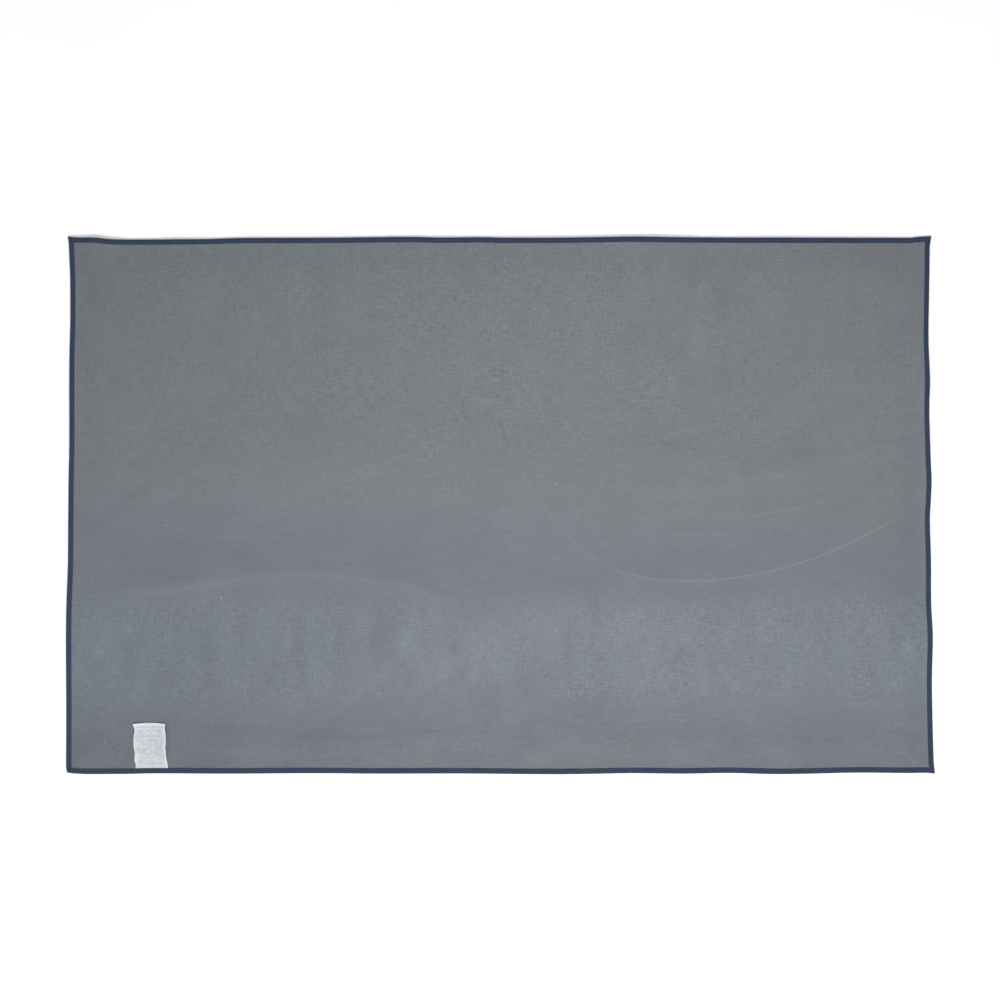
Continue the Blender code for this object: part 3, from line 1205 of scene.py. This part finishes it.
@dataclass
class BindingTape:
    """One length of tape, folded over the edge all round, with its corners mitred."""

    lie: Lie
    fold: Fold
    height: float = 3.5 * MM
    width: float = 8.0 * MM
    cloth: float = 0.55 * MM
    stitch_inset: float = 6.0 * MM
    cut_width: float = 20.0 * MM
    joins: float = 30.0 * MM

    def profile(self) -> np.ndarray:
        """The tape's outer section from its edge on the ground, round the blanket's edge, to its edge on top.

        Returns:
            The distance in from the blanket's edge and the height, one row for each point.
        """
        nose, middle = 1.7 * MM, self.height / 2
        under = [(self.width, 0.0), (7.0 * MM, 0.03 * MM), (self.stitch_inset, 0.16 * MM)]
        under += [(5.0 * MM, 0.05 * MM), (3.6 * MM, 0.0)]
        turns = np.radians(np.linspace(-90, 90, 11))
        round_it = [(nose * (1 - math.cos(a)), middle + middle * math.sin(a)) for a in turns]
        over = [(2.8 * MM, self.height + 0.10 * MM), (3.9 * MM, self.height + 0.12 * MM)]
        over += [(4.9 * MM, self.height), (5.5 * MM, self.height - 0.18 * MM)]
        over += [(self.stitch_inset, self.top_at_stitches()), (6.5 * MM, self.height - 0.20 * MM)]
        over += [(7.2 * MM, self.height - 0.14 * MM), (self.width, self.height - 0.24 * MM)]
        return np.array([*under, *round_it, *over])

    def stations(self, edge: Edge) -> np.ndarray:
        """Where the tape's cross-sections stand along an edge, as shares of its length.

        Args:
            edge: which edge.

        Returns:
            The shares, from 0 to 1.
        """
        length = self.edge_length(edge)
        half, corner, bend = length / 2, 14 * MM, 13 * MM
        stops = [(-half, -half + corner, 1.0 * MM), (-half + corner, -bend, 4.0 * MM)]
        stops += [(-bend, bend, 1.1 * MM if edge in (Edge.NEAR, Edge.FAR) else 4.0 * MM)]
        stops += [(bend, half - corner, 4.0 * MM), (half - corner, half, 1.0 * MM)]
        return graded(tuple(stops)) / length + 0.5

    def edge_length(self, edge: Edge) -> float:
        """The length of one edge of the blanket."""
        return 2 * (self.lie.half_length if edge in (Edge.NEAR, Edge.FAR) else self.lie.half_width)

    def on_edge(self, edge: Edge, along: np.ndarray, inset: np.ndarray) -> tuple[np.ndarray, np.ndarray]:
        """Turn a place along and in from an edge into a place on the cut blanket.

        Args:
            edge: which edge; the edges are walked anticlockwise from the near left corner.
            along: the distance from the edge's start.
            inset: the distance in from the edge.

        Returns:
            The x and y.
        """
        inward = np.array(edge.value, float)
        forward = np.array([inward[1], -inward[0]])
        corner = -np.array([self.lie.half_length, self.lie.half_width]) * (inward + forward)
        x = corner[0] + forward[0] * along + inward[0] * inset
        y = corner[1] + forward[1] * along + inward[1] * inset
        return x, y

    def build(self) -> bpy.types.Object:
        """Build the tape as one closed band.

        Returns:
            The piece.
        """
        section = self.profile()
        xs, ys, runs, insets = [], [], [], []
        passed = 0.0
        for edge in Edge:
            length = self.edge_length(edge)
            share, inset = np.meshgrid(self.stations(edge)[:-1], section[:, 0], indexing="ij")
            x, y = self.on_edge(edge, inset + share * (length - 2 * inset), inset)
            xs.append(x)
            ys.append(y)
            runs.append(passed + share * length)
            insets.append(np.minimum(share, 1 - share) * length)
            passed += length
        x, y = np.vstack(xs), np.vstack(ys)
        run, corner = np.vstack(runs), np.vstack(insets)
        x, y = np.vstack([x, x[:1]]), np.vstack([y, y[:1]])
        run, corner = np.vstack([run, np.full_like(run[:1], passed)]), np.vstack([corner, corner[:1]])
        z = section[:, 1] + self.ripple(run, corner, section)
        points = self.lie.place(x, y, z)
        around = np.concatenate([[0], np.cumsum(np.linalg.norm(np.diff(section, axis=0), axis=1))])
        places = np.stack([run, np.broadcast_to(around, run.shape)], -1)
        piece, station, spot = add_grid("binding_tape", *run.shape)
        write_points(piece, points[station, spot])
        write_map(piece, places[station, spot])
        merge_doubles(piece, 0.001 * MM)
        apply_modifier(piece, "SOLIDIFY", thickness=self.cloth, offset=-1, use_even_offset=True)
        shade_smooth(piece)
        return piece

    def ripple(self, run: np.ndarray, corner: np.ndarray, section: np.ndarray) -> np.ndarray:
        """How the tape's top waves between stitches and piles up where a corner is folded.

        Args:
            run: the distance walked along the tape.
            corner: the distance to the nearest corner.
            section: the tape's section.

        Returns:
            The heights to add.
        """
        on_top = smooth((section[:, 1] / self.height - 0.55) / 0.45)
        draw = np.random.default_rng(3)
        waves = np.zeros_like(run)
        for _ in range(9):
            length, phase = draw.uniform(0.012, 0.07), draw.uniform(0, 2 * math.pi)
            waves += 0.07 * MM * np.sin(2 * math.pi * run / length + phase)
        free = 1 - np.exp(-(((section[:, 0] - self.stitch_inset) / (1.1 * MM)) ** 2))
        tuck = 0.55 * MM * np.exp(-((corner / (5.5 * MM)) ** 2))
        seam = 0.45 * MM * np.exp(-((corner / (0.8 * MM)) ** 2))
        return on_top * (free * (waves + tuck) - seam)

    def top_at_stitches(self) -> float:
        """How high the tape's top lies along its stitches."""
        return self.height - 0.34 * MM

    def dress(self, piece: bpy.types.Object, rests_on: list[bpy.types.Object]) -> None:
        """Give the tape its finish, hide the model's binding pieces and bake its placement.

        Args:
            piece: the tape.
            rests_on: what it is folded over; not used.
        """
        piece.data.materials.append(TapeFinish().material())
        sides = [f"binding_{edge}_{half}" for edge in ("near", "far") for half in ("left", "right")]
        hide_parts(*sides, "binding_left_end", "binding_right_end")
        self.fold.bend(piece)


@dataclass
class StitchRow:
    """The lockstitches through the tape, as they show on one face of the blanket."""

    face: Face
    tape: BindingTape
    pitch: float = 3.2 * MM
    length: float = 2.7 * MM
    thread: float = 0.42 * MM

    def seats(self) -> tuple[np.ndarray, np.ndarray, np.ndarray]:
        """Where each stitch lies.

        Returns:
            The middles on the cut blanket, the ways that the stitches point, and the distances walked.
        """
        middles, ways, runs = [], [], []
        passed, inset = 0.0, self.tape.stitch_inset
        for edge in Edge:
            length = self.tape.edge_length(edge)
            count = int((length - 2 * inset) / self.pitch)
            along = inset + (np.arange(count) + 0.5) * (length - 2 * inset) / count
            x, y = self.tape.on_edge(edge, along, np.full_like(along, inset))
            inward = np.array(edge.value, float)
            middles.append(np.stack([x, y], -1))
            ways.append(np.broadcast_to([inward[1], -inward[0]], (count, 2)))
            runs.append(passed + along)
            passed += length
        return np.vstack(middles), np.vstack(ways), np.concatenate(runs)

    def build(self) -> bpy.types.Object:
        """Build the row: one stitch, copied to every seat.

        Returns:
            The piece.
        """
        deselect_all()
        bpy.ops.mesh.primitive_uv_sphere_add(segments=6, ring_count=4, radius=self.thread / 2)
        piece = bpy.context.object
        piece.name = piece.data.name = f"{self.face.value}_stitches"
        one = read_points(piece)
        one = one[:, [2, 0, 1]] * (self.length / self.thread, 1.15, 0.8)
        middles, ways, runs = self.seats()
        apply_modifier(piece, "ARRAY", count=len(runs), use_relative_offset=False, use_constant_offset=True)
        along = one[None, :, 0] * np.ones((len(runs), 1))
        across, up = one[None, :, 1], self.dip(one[None, :, 0]) + one[None, :, 2]
        x = middles[:, :1] + ways[:, :1] * along - ways[:, 1:] * across
        y = middles[:, 1:] + ways[:, 1:] * along + ways[:, :1] * across
        z = self.seat_height() + np.broadcast_to(up if self.face is Face.BACKING else -up, x.shape)
        write_points(piece, self.tape.lie.place(x, y, z).reshape(-1, 3))
        turn = np.arctan2(one[:, 2], one[:, 1]) / (2 * math.pi)
        places = np.stack([runs[:, None] + along, np.broadcast_to(turn, x.shape)], -1)
        write_map(piece, places.reshape(-1, 2))
        self.face_out(piece)
        shade_smooth(piece)
        return piece

    def dip(self, along: np.ndarray) -> np.ndarray:
        """How far a stitch's ends sink into the tape."""
        return -0.20 * MM * (2 * along / self.length) ** 2

    def seat_height(self) -> float:
        """How high the middles of the stitches lie above the blanket's underside."""
        sunk = 0.10 * MM
        if self.face is Face.BACKING:
            return self.tape.top_at_stitches() + sunk
        return 0.16 * MM - sunk

    def face_out(self, piece: bpy.types.Object) -> None:
        """Turn a piece's faces outwards."""
        pick(piece)
        bpy.ops.object.mode_set(mode="EDIT")
        bpy.ops.mesh.select_all(action="SELECT")
        bpy.ops.mesh.normals_make_consistent(inside=False)
        bpy.ops.object.mode_set(mode="OBJECT")

    def dress(self, piece: bpy.types.Object) -> None:
        """Give the row its finish, hide the model's halves of the thread and bake its placement."""
        piece.data.materials.append(ThreadFinish().material())
        name = f"{self.face.value}_thread"
        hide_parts(f"{name}_left", f"{name}_right")
        self.tape.fold.bend(piece)


@dataclass
class CareLabel:
    """The satin label, sewn under the tape at one end, with a folded hem at the other."""

    lie: Lie
    stack: Stack
    middle: float
    width: float
    length: float
    hem: float = 3.4 * MM
    cloth: float = 0.22 * MM
    root: float = 4.2 * MM
    tape_width: float = 8.0 * MM
    bend: float = 1.5 * MM
    left: tuple[Point, ...] = (
        (0.000, 1.6), (0.0085, 3.6), (0.015, 1.6), (0.026, 2.6), (0.035, 0.8), (0.050, 0.6),
        (0.061, 2.2), (0.0665, 0.6), (0.0725, -1.6),
    )
    right: tuple[Point, ...] = (
        (0.000, 1.4), (0.0085, 1.3), (0.019, -0.4), (0.030, -1.1), (0.036, -1.6), (0.043, -0.9),
        (0.054, -1.2), (0.062, -2.2), (0.0725, -1.6),
    )

    def build(self) -> bpy.types.Object:
        """Build the label as one closed ribbon.

        Returns:
            The piece.
        """
        along, share = np.meshgrid(np.linspace(0, self.length, 62), np.linspace(0, 1, 30), indexing="ij")
        left = self.middle - self.width / 2 + wave_line(self.left, along)
        right = self.middle + self.width / 2 + wave_line(self.right, along)
        x = left + (right - left) * share
        bow = 1.2 * MM * np.sin(math.pi * share) * smooth((along / self.length - 0.7) / 0.3)
        y = -self.lie.half_width + self.root + along + bow
        inset = y + self.lie.half_width
        base = self.stack.height(Level.BACKING_TOP, inset) + self.lie.lift(x, y)
        free_of_tape = smooth((inset - 7 * MM) / (3 * MM))
        under = base + 0.02 * MM + 0.12 * MM * free_of_tape + self.loft(along, share)
        top = np.stack([x, self.lie.warp(x, y)[1], under + self.cloth + self.hem_rise(along)], -1)
        bottom = np.stack([x, self.lie.warp(x, y)[1], under], -1)
        places = np.stack([along, (share - 0.5) * self.width], -1)
        return add_slab("care_label", top, bottom, places)

    def loft(self, along: np.ndarray, share: np.ndarray) -> np.ndarray:
        """How high the label stands off the backing: it waves, and its free corners lift.

        Args:
            along: the distance from the sewn end.
            share: the place across, from 0 to 1.

        Returns:
            The heights.
        """
        free = smooth((along - 9 * MM) / (18 * MM))
        rolled = 0.45 * MM * (1 + np.sin(2 * math.pi * along / (21 * MM) + 2.2 * share + 0.6))
        cupped = 0.9 * MM * (2 * share - 1) ** 2 + 2.5 * MM * smooth((share - 0.74) / 0.26)
        cupped += 1.5 * MM * smooth((0.20 - share) / 0.20) * smooth((0.6 - along / self.length) / 0.3)
        lifted = 1.3 * MM * smooth((along / self.length - 0.72) / 0.28)
        corner = 1.1 * MM * smooth((along / self.length - 0.8) / 0.2) * smooth((0.3 - share) / 0.3)
        return free * (rolled + cupped + lifted + corner)

    def hem_rise(self, along: np.ndarray) -> np.ndarray:
        """How much thicker the label is where its free end is folded under."""
        return 0.28 * MM * smooth((along - (self.length - self.hem)) / (0.7 * MM))

    def dress(self, piece: bpy.types.Object, rests_on: list[bpy.types.Object]) -> None:
        """Give the label its finish, hide the model's label pieces and bake its placement.

        Args:
            piece: the label.
            rests_on: what it lies on; not used.
        """
        piece.data.materials.append(SatinFinish(width=self.width, length=self.length).material())
        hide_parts("care_label_root", "care_label_flap")
        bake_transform(piece)


# --------------------------------------------------------------------------------------------- studio


@dataclass
class Studio:
    """A pale floor under soft light, and the camera straight above."""

    centre: Point = (-0.0005, 0.0078)
    camera_height: float = 3.536
    lens: float = 85.0

    def build(self) -> None:
        """Build the floor, the lights, the surrounding air and the camera."""
        self.add_floor()
        self.add_air()
        self.add_panel("key", (0.12, -1.45, 2.20), (1.0, 0.7), 41.0)
        self.add_panel("side", (-1.90, -0.50, 1.30), (0.8, 0.8), 6.5)
        self.add_panel("top", (0.60, 0.10, 3.00), (2.4, 2.0), 26.0)
        self.add_camera()

    def add_floor(self) -> None:
        """Add the floor, a little under the blanket."""
        deselect_all()
        bpy.ops.mesh.primitive_plane_add(size=60.0, location=(0, 0, -0.25 * MM))
        floor = bpy.context.object
        floor.name = "studio_floor"
        board = Board("studio_floor")
        place = board.add("ShaderNodeTexCoord").outputs["Object"]
        cloudy = board.spread(board.noise(place, 3.0, 2.0, 0.5), 0.3, 0.7, 0.0, 1.0)
        colour = board.mix(cloudy, (0.87, 0.87, 0.87, 1), (0.90, 0.90, 0.90, 1))
        floor.data.materials.append(board.finish({"Base Color": colour, "Roughness": 0.9}))
        floor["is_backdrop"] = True

    def add_air(self) -> None:
        """Fill the space around with a pale even light."""
        world = bpy.data.worlds.new("studio_air")
        bpy.context.scene.world = world
        world.use_nodes = True
        air = world.node_tree.nodes["Background"]
        air.inputs["Color"].default_value = (0.95, 0.97, 1.0, 1)
        air.inputs["Strength"].default_value = 0.62

    def add_panel(self, name: str, at: Triple, size: Point, power: float) -> None:
        """Add a soft panel light that looks at the middle of the blanket.

        Args:
            name: the light's name.
            at: where it hangs.
            size: its width and depth.
            power: its power in watts.
        """
        deselect_all()
        bpy.ops.object.light_add(type="AREA", location=at)
        light = bpy.context.object
        light.name = f"{name}_light"
        light.data.shape = "RECTANGLE"
        light.data.size, light.data.size_y = size
        light.data.energy = power
        light.rotation_euler = (-Vector(at)).to_track_quat("-Z", "Y").to_euler()
        light.visible_camera = False

    def add_camera(self) -> None:
        """Add the camera, looking straight down."""
        bpy.ops.object.camera_add(location=(*self.centre, self.camera_height), rotation=(0, 0, 0))
        camera = bpy.context.object
        camera.name = "camera"
        camera.data.lens = self.lens
        camera.data.sensor_width = 36.0
        camera.data.dof.use_dof = False
        camera.data.clip_end = 50.0
        bpy.context.scene.camera = camera
        bpy.context.scene.view_settings.view_transform = "Standard"


# ----------------------------------------------------------------------------------------------- main


def long_creases() -> tuple[Crease, ...]:
    """The long soft creases left by how the blanket was rolled and folded, and a few short ones."""
    right_arc = (
        (0.072, 0.336), (0.012, 0.246), (0.000, 0.179), (0.005, 0.127), (0.027, 0.059), (0.065, 0.000),
        (0.117, -0.060), (0.177, -0.098), (0.267, -0.113), (0.379, -0.104), (0.491, -0.071), (0.614, -0.012),
    )
    left_arc = (
        (-0.631, -0.131), (-0.511, -0.128), (-0.429, -0.116), (-0.332, -0.104), (-0.257, -0.105),
        (-0.167, -0.116), (-0.108, -0.135), (-0.085, -0.180), (-0.070, -0.210),
    )
    middle_line = ((-0.078, -0.143), (-0.033, -0.202), (0.005, -0.270), (0.005, -0.345))
    soft = {"left": 10 * MM, "right": 5 * MM}
    return (
        Crease(
            right_arc, 0.45 * MM, left=25 * MM, right=2.6 * MM, round=1.0 * MM, start=0.90, end=0.05,
            rub_and_shade=0.27, rub_width=1.4 * MM,
        ),
        Crease(
            left_arc, 0.8 * MM, left=45 * MM, right=9.0 * MM, round=4.0 * MM, start=0.12, end=0.16,
            rub_and_shade=0.11, rub_width=5.5 * MM,
        ),
        Crease(middle_line, 0.4 * MM, **soft, rub_and_shade=0.06, rub_width=2.5 * MM),
        Crease(((-0.280, -0.337), (-0.182, -0.270), (-0.130, -0.240)), -0.3 * MM, **soft),
        Crease(((-0.140, -0.300), (-0.033, -0.225)), -0.35 * MM, **soft, start=0.03, end=0.03),
        Crease(((0.401, 0.097), (0.521, 0.142), (0.596, 0.209)), -0.8 * MM, left=9 * MM, right=9 * MM),
        Crease(((0.170, 0.018), (0.350, 0.036), (0.610, 0.098)), 0.5 * MM, **soft, start=0.12, end=0.10),
        Crease(((0.230, -0.015), (0.420, -0.004), (0.625, 0.046)), 0.4 * MM, **soft, start=0.12, end=0.10),
        Crease(((-0.450, -0.035), (-0.300, 0.020), (-0.150, 0.075), (-0.050, 0.120)), 0.4 * MM, **soft),
        Crease(((-0.430, 0.010), (-0.300, 0.060), (-0.160, 0.100)), 0.35 * MM, **soft),
        Crease(((0.0, -0.202), (0.0, -0.344)), 0.2 * MM, left=9 * MM, right=6 * MM, rub_and_shade=0.05),
        *short_creases(),
    )


def stepped_crease(points: tuple[Point, ...], height: float, rub_and_shade: float, width: float) -> Crease:
    """Make a short crease with a small step in the cloth beside its line.

    Args:
        points: the points that it passes through.
        height: the step, in millimetres.
        rub_and_shade: how much paler its line is, as abraded coating with a painted highlight, or below 0 how
            much darker as painted shade.
        width: the line's width, in millimetres.

    Returns:
        The crease.
    """
    return Crease(
        points, height * MM, left=8 * MM, right=4 * MM, start=0.02, end=0.03, rub_and_shade=rub_and_shade, rub_width=width * MM
    )


def fine_crease(points: tuple[Point, ...], height: float, rub_and_shade: float) -> Crease:
    """Make a short crease with a fine line.

    Args:
        points: the points that it passes through.
        height: how high it is, in millimetres.
        rub_and_shade: how much paler its line is, as abraded coating with a painted highlight, or below 0 how
            much darker as painted shade.

    Returns:
        The crease.
    """
    return Crease(
        points, height * MM, left=6 * MM, right=4 * MM, start=0.03, end=0.03, rub_and_shade=rub_and_shade, rub_width=1.5 * MM
    )


def short_creases() -> tuple[Crease, ...]:
    """The short creases, each a pale line of abraded coating and painted highlight, or a dark line of painted
    shade, beside a small step in the cloth.
    """
    return (
        stepped_crease(((0.002, 0.240), (0.001, 0.195), (0.003, 0.157)), -0.5, -0.15, 1.8),
        stepped_crease(((-0.011, 0.143), (0.004, 0.117), (0.012, 0.078)), -0.5, -0.18, 2.2),
        stepped_crease(((-0.040, 0.154), (-0.004, 0.156)), 0.5, 0.12, 3.0),
        stepped_crease(((0.071, 0.349), (0.044, 0.302)), -0.5, -0.105, 3.0),
        stepped_crease(((0.222, 0.097), (0.269, 0.110), (0.319, 0.123)), 0.5, 0.075, 1.6),
        stepped_crease(((0.222, 0.096), (0.262, 0.090), (0.319, 0.078)), 0.4, -0.09, 2.0),
        stepped_crease(((0.391, 0.098), (0.418, 0.108), (0.448, 0.117)), 0.4, 0.135, 1.5),
        fine_crease(((0.354, -0.018), (0.405, -0.011), (0.459, -0.003)), 0.3, 0.105),
        fine_crease(((0.318, 0.038), (0.410, 0.042), (0.504, 0.049)), 0.3, 0.09),
        fine_crease(((0.190, -0.040), (0.280, -0.044), (0.384, -0.041)), 0.2, 0.09),
        fine_crease(((0.049, 0.027), (0.150, 0.030), (0.249, 0.027)), 0.2, 0.075),
        stepped_crease(((0.572, -0.066), (0.590, -0.080)), 0.3, 0.15, 1.5),
        stepped_crease(((0.044, -0.326), (0.066, -0.331), (0.086, -0.341)), 0.4, 0.12, 2.0),
        fine_crease(((0.376, -0.281), (0.470, -0.283)), 0.2, 0.105),
        fine_crease(((0.490, -0.296), (0.560, -0.298), (0.630, -0.296)), 0.2, 0.105),
        fine_crease(((-0.235, -0.327), (-0.200, -0.334), (-0.160, -0.331)), 0.3, 0.105),
        fine_crease(((-0.542, -0.236), (-0.515, -0.234), (-0.482, -0.238)), -0.3, -0.135),
        fine_crease(((-0.545, -0.247), (-0.510, -0.249), (-0.480, -0.246)), -0.3, -0.105),
        stepped_crease(((-0.610, -0.330), (-0.585, -0.352), (-0.575, -0.380)), -0.4, -0.12, 3.0),
        fine_crease(((-0.635, -0.100), (-0.560, -0.094), (-0.480, -0.098)), -0.3, -0.06),
        fine_crease(((-0.480, -0.052), (-0.380, -0.046), (-0.290, -0.050)), 0.3, 0.06),
        fine_crease(((-0.300, -0.316), (-0.250, -0.322)), 0.3, 0.075),
        stepped_crease(((-0.070, -0.232), (-0.052, -0.262), (-0.040, -0.300)), -0.5, -0.105, 4.0),
    )


def low_swells() -> tuple[Swell, ...]:
    """The low rises and hollows of the blanket as it lies."""
    return (
        Swell((-0.604, 0.398), (0.034, 0.030), 3.6 * MM),
        Swell((0.225, 0.400), (0.060, 0.035), 1.3 * MM),
        Swell((0.25, -0.130), (0.42, 0.055), 1.6 * MM, 0.02),
        Swell((-0.33, -0.125), (0.30, 0.050), 1.2 * MM),
        Swell((-0.302, -0.210), (0.014, 0.060), -0.5 * MM),
        Swell((-0.190, -0.205), (0.014, 0.055), -0.5 * MM),
        Swell((-0.145, -0.200), (0.016, 0.055), 0.5 * MM),
        Swell((0.184, 0.154), (0.012, 0.010), -0.35 * MM),
        Swell((-0.269, 0.243), (0.012, 0.010), -0.35 * MM),
    )


def painted_light_and_shade_patches() -> tuple[Swell | Band, ...]:
    """Painted light and shade on the coating: broad strips and corners that reshape how the light falls
    across the blanket, and small paler and darker spots for the lit and shaded sides of dents, rises, creases
    and puckers.
    """
    return (
        # Strips of painted light and shade along the blanket; the third one darkens the cloth towards the
        # near edge.
        Band(-0.310, -0.128, 0.06, 0.035, -0.01, 0.02),
        Band(-0.155, 0.02, 0.035, 0.10, -0.04, -0.045),
        Band(-0.460, -0.240, 0.005, 0.13, -0.27, -0.25),
        Swell((-0.302, -0.210), (0.010, 0.045), -0.084),
        Swell((-0.190, -0.205), (0.010, 0.045), -0.084),
        Swell((-0.145, -0.206), (0.010, 0.018), 0.168),
        Swell((-0.319, -0.202), (0.008, 0.009), 0.112),
        Swell((-0.235, -0.187), (0.008, 0.012), -0.098),
        Swell((-0.068, -0.212), (0.008, 0.010), -0.112),
        Swell((-0.557, -0.182), (0.009, 0.012), 0.126),
        Swell((-0.602, -0.218), (0.012, 0.010), 0.084),
        Swell((0.010, -0.225), (0.035, 0.040), 0.07),
        Swell((0.101, -0.200), (0.007, 0.030), -0.126),
        Swell((0.142, -0.154), (0.006, 0.024), -0.14),
        Swell((0.189, -0.210), (0.008, 0.014), -0.112),
        Swell((0.264, -0.190), (0.012, 0.016), 0.084),
        Swell((0.269, -0.224), (0.008, 0.018), -0.112),
        Swell((0.318, -0.240), (0.007, 0.018), -0.126),
        Swell((0.390, -0.262), (0.008, 0.012), -0.098),
        Swell((0.418, -0.238), (0.007, 0.018), -0.098),
        Swell((0.505, -0.206), (0.010, 0.034), 0.084),
        Swell((0.560, -0.230), (0.008, 0.024), -0.07),
        Swell((0.613, -0.212), (0.009, 0.018), 0.154),
        Swell((0.288, 0.341), (0.010, 0.030), -0.084),
        Swell((0.303, 0.318), (0.008, 0.016), 0.07),
        Swell((0.299, 0.252), (0.010, 0.014), 0.084),
        Swell((0.336, 0.310), (0.012, 0.040), -0.07),
        Swell((0.269, 0.086), (0.050, 0.013), -0.084, -0.05),
        Swell((0.430, 0.074), (0.060, 0.016), -0.056, 0.10),
        Swell((0.490, 0.132), (0.055, 0.010), -0.07, 0.42),
        Swell((-0.022, 0.154), (0.016, 0.008), 0.098),
        Swell((-0.018, 0.136), (0.014, 0.006), -0.098),
        Swell((0.184, 0.154), (0.010, 0.010), -0.084),
        Swell((-0.269, 0.243), (0.012, 0.010), -0.112),
        Swell((-0.420, 0.180), (0.050, 0.016), 0.042),
        Swell((-0.370, 0.060), (0.020, 0.060), 0.042),
        # Broad painted light and shade: lighter in the middle towards the far edge, darker along the near
        # edge's middle and at the far corners, lighter at the near corners.
        Swell((0.02, 0.20), (0.34, 0.20), 0.085),
        Swell((0.10, -0.37), (0.28, 0.07), -0.11),
        Swell((-0.64, 0.38), (0.14, 0.12), -0.07),
        Swell((0.64, 0.38), (0.16, 0.12), -0.085),
        Swell((-0.62, -0.35), (0.12, 0.09), 0.06),
        Swell((0.62, -0.33), (0.12, 0.10), 0.06),
        Swell((-0.24, 0.0), (0.26, 0.06), 0.045),
    )


def report(piece: bpy.types.Object) -> bpy.types.Object:
    """Log a finished piece and hand it on."""
    LOG.info("%s: %d faces", piece.name, len(piece.data.polygons))
    return piece


def build_layers(lie: Lie, fold: Fold, stack: Stack) -> list[bpy.types.Object]:
    """Build the three layers of cloth, each on the one before.

    Args:
        lie: how the blanket lies.
        fold: how it bends.
        stack: how thick the layers are.

    Returns:
        The layers, from the ground up.
    """
    layers: tuple[tuple[ClothLayer, Finish], ...] = (
        (ClothLayer("face_cloth", Level.GROUND, Level.FACE_TOP, lie, stack, fold), FleeceFinish()),
        (ClothLayer("wadding", Level.FACE_TOP, Level.WADDING_TOP, lie, stack, fold), WaddingFinish()),
        (Backing("backing_cloth", Level.WADDING_TOP, Level.BACKING_TOP, lie, stack, fold), CoatedFinish()),
    )
    pieces: list[bpy.types.Object] = []
    for layer, finish in layers:
        piece = report(layer.build())
        layer.dress(piece, finish, pieces[-1:])
        pieces.append(piece)
    return pieces


def main() -> None:
    """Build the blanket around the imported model."""
    logging.basicConfig(level=logging.INFO, format="%(name)s: %(message)s")
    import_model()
    cad_low, cad_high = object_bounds()
    lie = Lie(cad_high.x, cad_high.y, creases=long_creases(), swells=low_swells(), light_and_shade_patches=painted_light_and_shade_patches())
    stack, fold = Stack(), Fold()
    face, _, backing = build_layers(lie, fold, stack)
    tape = BindingTape(lie, fold)
    tape.dress(report(tape.build()), [face, backing])
    for side in Face:
        row = StitchRow(side, tape)
        row.dress(report(row.build()))
    low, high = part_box("care_label_flap")
    label = CareLabel(lie, stack, middle=(low.x + high.x) / 2, width=high.x - low.x, length=70.0 * MM)
    label.dress(report(label.build()), [backing])
    Studio().build()
    low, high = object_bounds()


if __name__ == "__main__":
    main()
